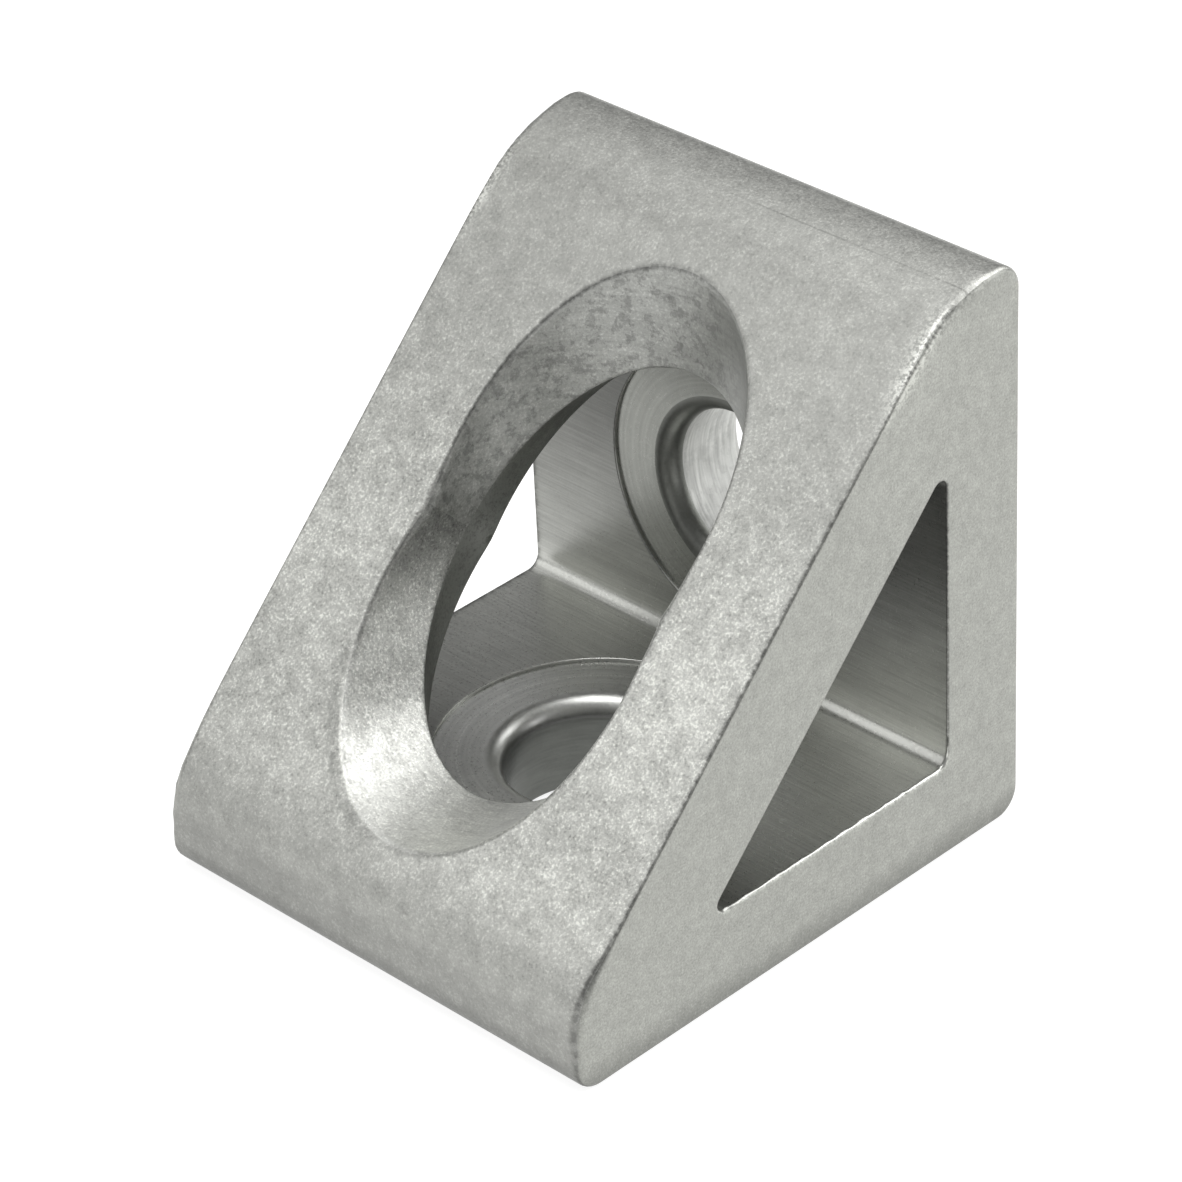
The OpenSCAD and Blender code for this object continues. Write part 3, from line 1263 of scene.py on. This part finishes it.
@dataclass(frozen=True)
class Finish:
    """A finish of the aluminium: its colour, its gloss and the relief of its grain."""

    name: str
    color: Triple
    roughness: float
    grain_mm: float = 0.12
    grain_depth_um: float = 9.0
    grain_shade: float = 0.12
    cluster_shade: float = 0.04
    fleck_shade: float = 0.0
    broad_mm: float = 1.6
    broad_shade: float = 0.03
    stain_mm: float = 0.55
    stain_shade: float = 0.0
    pit_mm: float = 0.42
    pit_share: float = 0.05
    pit_depth_um: float = 4.0
    pit_shade: float = 0.25
    marks: Optional[ToolMarks] = None
    # How strongly the painted highlight brightens and the painted shade darkens the colour.
    highlight_gain: float = 1.1
    shade_gain: float = -0.75
    least_ragged: float = 0.0
    gloss_spread: float = 0.07
    brightest: float = 1.6
    scribe: Optional[Scribe] = None
    # fades paint light and shade into the colour: lighter or darker with height or across the part.
    fades: tuple[Fade, ...] = ()
    grain_fades: tuple[Fade, ...] = ()

    def mottle(self, bench: Bench, grain: Socket) -> Socket:
        """How much grain, clusters of grains, and bright and dark flecks change the colour.

        Formula: the grain and the clusters each run from minus their shade to their shade. Flecks come from
        the tails of one noise, which clusters raise a little. The sum is faded as the grain is.

        Args:
            bench: the material's bench.
            grain: the grain's noise.

        Returns:
            The change, 0 on average.
        """
        place = bench.place()
        clusters = bench.noise(place, self.grain_mm * 6, 3.0, 0.7)
        flecks = bench.noise(place, self.grain_mm * 0.9, 2.0, 0.7)
        flecks = bench.math("ADD", flecks, bench.fitted(clusters, 0.35, 0.65, -0.05, 0.05))
        mottle = bench.fitted(grain, 0.35, 0.65, -self.grain_shade, self.grain_shade)
        for operation, source, low, high, start, end in (
            ("ADD", clusters, 0.38, 0.62, -self.cluster_shade, self.cluster_shade),
            ("ADD", flecks, 0.54, 0.68, 0.0, self.fleck_shade),
            ("SUBTRACT", flecks, 0.40, 0.33, 0.0, self.fleck_shade * 0.5),
        ):
            mottle = bench.math(operation, mottle, bench.fitted(source, low, high, start, end))
        return bench.faded(mottle, self.grain_fades)

    def material(self) -> bpy.types.Material:
        """Builds the material.

        Formula: the colour is multiplied by broad patches, by the mottle, by the fades, which paint light
        and shade, and by what stains, the scribed line, pits and tool marks leave of it. Where a painted
        highlight lies it gains, and under painted shade it loses. The relief is the sum of the grain, the
        pits and the marks.

        Returns:
            The material.
        """
        made = bpy.data.materials.new(self.name)
        made.use_nodes = True
        bench = Bench(made)
        place = bench.place()
        grain = bench.noise(place, self.grain_mm, 3.0, 0.65)
        broad = bench.noise(place, self.broad_mm, 3.0, 0.55)
        value = bench.fitted(broad, *NOISE_RANGE, 1 - self.broad_shade, 1 + self.broad_shade)
        value = bench.product(value, bench.math("ADD", self.mottle(bench, grain), 1.0))
        value = bench.faded(value, self.fades)
        if self.stain_shade:
            stains = bench.noise(place, self.stain_mm, 4.0, 0.7)
            stains = bench.faded(bench.fitted(stains, 0.51, 0.58, 0.0, self.stain_shade), self.grain_fades)
            value = bench.product(value, bench.math("SUBTRACT", 1.0, stains))
        if self.scribe is not None:
            value = bench.product(value, self.scribe.factor(bench))
        height = bench.product(grain, self.grain_depth_um * MICRON)
        if self.pit_share:
            inputs = {"Vector": place, "Scale": 1 / (self.pit_mm * MM)}
            away = bench.node("TexVoronoi", inputs, feature="F1").outputs["Distance"]
            pits = bench.fitted(away, 0.0, self.pit_share * 2, 1.0, 0.0)
            value = bench.product(value, bench.fitted(pits, 0.0, 1.0, 1.0, 1 - self.pit_shade))
            height = bench.math("SUBTRACT", height, bench.product(pits, self.pit_depth_um * MICRON))
        if self.marks is not None:
            marks, shade = self.marks.height(bench), self.marks.shade
            height = bench.math("ADD", height, bench.product(marks, self.marks.depth_um * MICRON))
            value = bench.product(value, bench.fitted(marks, *NOISE_RANGE, 1 - shade, 1 + shade))
        # Painted highlight and painted shade from the point attributes, broken up by noise.
        for name, gain, size_mm, least in (
            (PAINTED_HIGHLIGHT, self.highlight_gain, 0.13, self.least_ragged),
            (PAINTED_SHADE, self.shade_gain, 0.28, 0.4),
        ):
            ragged = bench.fitted(bench.noise(place, size_mm, 2.0), 0.40, 0.56, least, 1.0)
            share = bench.node("Attribute", attribute_name=name).outputs["Fac"]
            value = bench.product(value, bench.math("ADD", bench.product(share, ragged, gain), 1.0))
        value = bench.fitted(value, 0.0, self.brightest, 0.0, self.brightest)
        low, high = self.roughness - self.gloss_spread, self.roughness + self.gloss_spread
        bump = bench.node("Bump", {"Height": height, "Distance": 1.0, "Strength": 1.0})
        shader = made.node_tree.nodes["Principled BSDF"]
        shader.inputs["Metallic"].default_value = 1.0
        for socket, source in (
            ("Base Color", bench.vector("SCALE", {0: self.color, "Scale": value})),
            ("Roughness", bench.fitted(grain, *NOISE_RANGE, low, high)),
            ("Normal", bump.outputs[0]),
        ):
            made.node_tree.links.new(source, shader.inputs[socket])
        return made


def zone_finishes(sizes: Sizes) -> dict[Zone, Finish]:
    """The finish of each zone.

    Args:
        sizes: the bracket's sizes, for the screw axes.

    Returns:
        A finish for each zone.
    """
    upright = (0.0, sizes.reach / 2 - sizes.hole_u, 0.0)
    level = (0.0, 0.0, sizes.hole_v)
    up_marks = ToolMarks(0.14, 5.0, (0.10, 0.10, 1.0), (4.0, 3.0, 0.0), shade=0.08)
    level_marks = ToolMarks(0.16, 5.0, (0.10, 1.0, 0.10), (4.0, 0.0, 3.0), shade=0.06)
    bore_marks = ToolMarks(0.15, 3.0, (0.10, 1.0, 0.10), (4.0, 0.0, 3.0), shade=0.17)
    up_rings = ToolMarks(0.14, 1.5, rings_about="z", centre_mm=upright, shade=0.10)
    level_rings = ToolMarks(0.14, 1.5, rings_about="y", centre_mm=level, shade=0.11)
    die_lines = ToolMarks(0.10, 1.2, (0.03, 1.0, 1.0), shade=0.11)
    smooth = {"grain_depth_um": 0.3, "grain_shade": 0.05, "cluster_shade": 0.02, "pit_share": 0.0}
    # Painted light and shade on the skin: darker towards the bottom edge and over the lower front face,
    # darker from 5.6 to 8 mm up, lighter again to 12 mm, darker up to 19 mm, lighter on the top nose, and
    # lighter towards the right.
    skin_painted_light = (
        Fade(0.1, 1.5, 0.36, 1.0),
        Fade(2.6, 6.2, 0.51, 1.0),
        Fade(5.6, 8.0, 1.0, 0.90),
        Fade(8.0, 12.0, 1.0, 1.16),
        Fade(12.0, 19.0, 1.0, 0.82),
        Fade(22.3, 24.3, 1.0, 1.06),
        Fade(-9.0, 9.0, 0.94, 1.03, axis=0),
    )
    skin_grain = (Fade(3.0, 7.0, 0.45, 1.0), Fade(15.0, 22.0, 1.0, 0.55))
    # Painted light and shade in the tunnel: lighter on its floor and darker up its walls, lighter towards
    # the right cut end and darker towards the front.
    tunnel_painted_light = (
        Fade(4.4, 6.0, 1.26, 0.75),
        Fade(6.5, 13.5, 1.0, 0.42),
        Fade(5.0, 10.0, 1.0, 1.24, axis=0),
        Fade(-3.9, 6.0, 0.52, 1.0, axis=1),
    )
    # Painted light and shade on the upper lobe's wall: lighter towards the left and darker near its top.
    upper_wall_painted_light = (Fade(-6.0, 4.0, 1.17, 1.01, axis=0), Fade(15.0, 19.0, 1.0, 0.84))
    # Lightens the undercut's painted shade towards the waist, to meet the walls' colour there.
    waist_painted_light = Fade(5.4, 6.5, 1.0, 1.5, axis=0, mirrored=True)
    return {
        Zone.TUMBLED: Finish(
            "tumbled_skin", (0.60, 0.605, 0.572), 0.42, grain_mm=0.13, grain_shade=0.17, cluster_shade=0.09,
            fleck_shade=0.52, scribe=Scribe(9.7, 24.4, -3.0), fades=skin_painted_light, grain_fades=skin_grain,
        ),
        # The cut end's darker colour is partly a duller finish and partly painted shade against the bright
        # floor it reflects; its fade paints shade towards the bottom edge.
        Zone.CUT_END: Finish(
            "tumbled_cut_end", (0.358, 0.363, 0.338), 0.46, grain_mm=0.10, grain_depth_um=6.0,
            grain_shade=0.14, cluster_shade=0.03, fleck_shade=0.22, highlight_gain=1.2,
            fades=(Fade(0.0, 1.4, 0.62, 1.0),),
        ),
        Zone.EXTRUDED: Finish(
            "extruded_tunnel", (0.44, 0.445, 0.42), 0.32, marks=die_lines, fades=tunnel_painted_light,
            least_ragged=0.5, **smooth,
        ),
        # Painted light and shade: each upright and level pair of wall, seat, hole and mouth is one finish in
        # two copies, one painted lighter and one darker for how light falls on it.
        Zone.MILLED_UPRIGHT: Finish(
            "milled_wall_upright", (0.42, 0.425, 0.405), 0.44, grain_shade=0.10, fleck_shade=0.3,
            stain_shade=0.27, marks=up_marks, fades=upper_wall_painted_light,
            grain_fades=(Fade(-0.5, 4.0, 1.0, 0.3, axis=0),),
        ),
        # The lower lobe's wall is the lighter copy, with painted shade towards the crease at its top.
        Zone.MILLED_LEVEL: Finish(
            "milled_wall_level", (0.63, 0.635, 0.605), 0.46, grain_shade=0.16, fleck_shade=0.60,
            stain_shade=0.16, marks=level_marks, fades=(Fade(9.2, 12.6, 1.04, 0.55),),
            grain_fades=(Fade(-4.0, 0.5, 1.0, 0.45, axis=0),),
        ),
        Zone.FACED_UPRIGHT: Finish(
            "faced_seat_upright", (0.66, 0.665, 0.64), 0.32, marks=up_rings, **smooth
        ),
        # The back seat's dark colour is painted shade.
        Zone.FACED_LEVEL: Finish(
            "faced_seat_level", (0.29, 0.295, 0.275), 0.32, marks=level_rings, **smooth
        ),
        # The lower hole's dark colour is painted shade.
        Zone.DRILLED_UPRIGHT: Finish(
            "drilled_hole_upright", (0.135, 0.14, 0.13), 0.36, marks=up_marks, **smooth
        ),
        # Painted shade towards the bottom of the back hole.
        Zone.DRILLED_LEVEL: Finish(
            "drilled_hole_level", (0.53, 0.535, 0.515), 0.52, marks=bore_marks, stain_shade=0.10,
            fades=(Fade(8.8, 12.4, 0.55, 1.0),), **smooth,
        ),
        # The undercut's dark colour is painted shade: these walls lie in the shade under the opening's rim.
        Zone.UNDERCUT: Finish(
            "undercut_wall", (0.25, 0.255, 0.24), 0.42, grain_shade=0.16, fleck_shade=0.4,
            fades=(waist_painted_light,),
        ),
        # Painted shade where the lower mouth turns down into its hole.
        Zone.MOUTH_UPRIGHT: Finish(
            "burnished_mouth_upright", (0.70, 0.705, 0.68), 0.36,
            fades=(Fade(3.38, 3.85, 0.25, 1.0),), **smooth,
        ),
        # The back mouth's dark colour is painted shade.
        Zone.MOUTH_LEVEL: Finish(
            "burnished_mouth_level", (0.20, 0.205, 0.19), 0.40, stain_shade=0.08, **smooth
        ),
        Zone.STEP: Finish("seat_step", (0.52, 0.525, 0.50), 0.36, least_ragged=0.7, **smooth),
    }


# Studio


@dataclass(frozen=True)
class Portrait:
    """The camera, where the photograph was taken from."""

    place_mm: Triple = (119.913, -115.894, 118.019)
    turn_deg: Triple = (57.464, 2.327, 44.416)
    lens_mm: float = 153.497

    def build(self) -> None:
        """Adds the camera and makes it the scene's own."""
        camera = bpy.data.cameras.new("portrait")
        camera.lens = self.lens_mm
        camera.clip_start = 0.01
        placed = added("portrait", camera)
        placed.location = [value * MM for value in self.place_mm]
        placed.rotation_euler = [math.radians(angle) for angle in self.turn_deg]
        bpy.context.scene.camera = placed


@dataclass(frozen=True)
class SoftBox:
    """A large square lamp that faces the part."""

    name: str
    towards: Triple
    radiance: float
    size_m: float = 0.5
    distance_m: float = 0.6

    def build(self) -> None:
        """Adds the lamp. Its power is the radiance times pi times its area."""
        lamp = bpy.data.lights.new(self.name, "AREA")
        lamp.size = self.size_m
        lamp.energy = self.radiance * math.pi * self.size_m**2
        placed = added(self.name, lamp)
        direction = Vector(self.towards).normalized()
        placed.location = direction * self.distance_m
        placed.rotation_euler = direction.to_track_quat("Z", "Y").to_euler()


@dataclass(frozen=True)
class Studio:
    """A pale floor under soft light from the left, from above and from behind on the right."""

    boxes: tuple[SoftBox, ...] = (
        SoftBox("left_box", (-0.42, -0.66, 0.50), 0.82, 0.34, 0.35),
        SoftBox("top_box", (-0.30, 0.20, 0.93), 0.66, 0.6, 0.6),
        SoftBox("back_box", (0.34, 0.60, 0.72), 2.7, 0.5, 0.6),
        SoftBox("side_box", (0.79, 0.58, 0.20), 2.8, 0.32, 0.6),
        SoftBox("overhead_box", (0.05, -0.20, 0.98), 3.8, 0.22, 0.5),
    )
    world: float = 0.24
    floor_glow: float = 0.87
    floor_color: Triple = (0.36, 0.36, 0.355)
    floor_half_m: float = 0.8

    def build(self) -> None:
        """Adds the floor, the lamps and the even light all round."""
        half = self.floor_half_m
        mesh = bpy.data.meshes.new("pale_floor")
        corners = [(-half, -half, 0), (half, -half, 0), (half, half, 0), (-half, half, 0)]
        mesh.from_pydata(corners, [], [(0, 1, 2, 3)])
        floor = added("pale_floor", mesh)
        paint = bpy.data.materials.new("pale_floor")
        paint.use_nodes = True
        shader = paint.node_tree.nodes["Principled BSDF"]
        for socket, value in (
            ("Base Color", (*self.floor_color, 1)),
            ("Roughness", 0.9),
            ("Specular IOR Level", 0.1),
            ("Emission Color", (1, 1, 1, 1)),
            ("Emission Strength", self.floor_glow),
        ):
            shader.inputs[socket].default_value = value
        mesh.materials.append(paint)
        for box in self.boxes:
            box.build()
        world = bpy.data.worlds.new("even_light")
        world.use_nodes = True
        background = world.node_tree.nodes["Background"]
        background.inputs["Color"].default_value = (1, 1, 1, 1)
        background.inputs["Strength"].default_value = self.world
        bpy.context.scene.world = world
        bpy.context.scene.view_settings.view_transform = "Standard"


def main() -> None:
    """Builds the dressed gusset and its portrait scene."""
    logging.basicConfig(level=logging.INFO, format="%(name)s: %(message)s")
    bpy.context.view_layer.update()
    sizes = Sizes.from_frame(NODE, frame["record"])
    rows = Rows()
    upper, lower = Lobe(sizes, upper=True), Lobe(sizes, upper=False)
    outside = Outside(sizes, upper, lower, rows)
    inside = Inside(sizes, upper, lower, rows)
    skin = Skin(RoundedBody(sizes))
    for sheet in outside.sheets() + upper.sheets(rows) + lower.sheets(rows) + [inside.tunnel()]:
        skin.add_sheet(sheet)
    skin.add_end(*inside.end_rows(outside.end_loop()))
    finishes = zone_finishes(sizes)
    piece = skin.build("tumbled_gusset")
    for zone in Zone:
        piece.data.materials.append(finishes[zone].material())
    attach(piece, "root")
    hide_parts(NODE)
    Portrait().build()
    Studio().build()


if __name__ == "__main__":
    main()
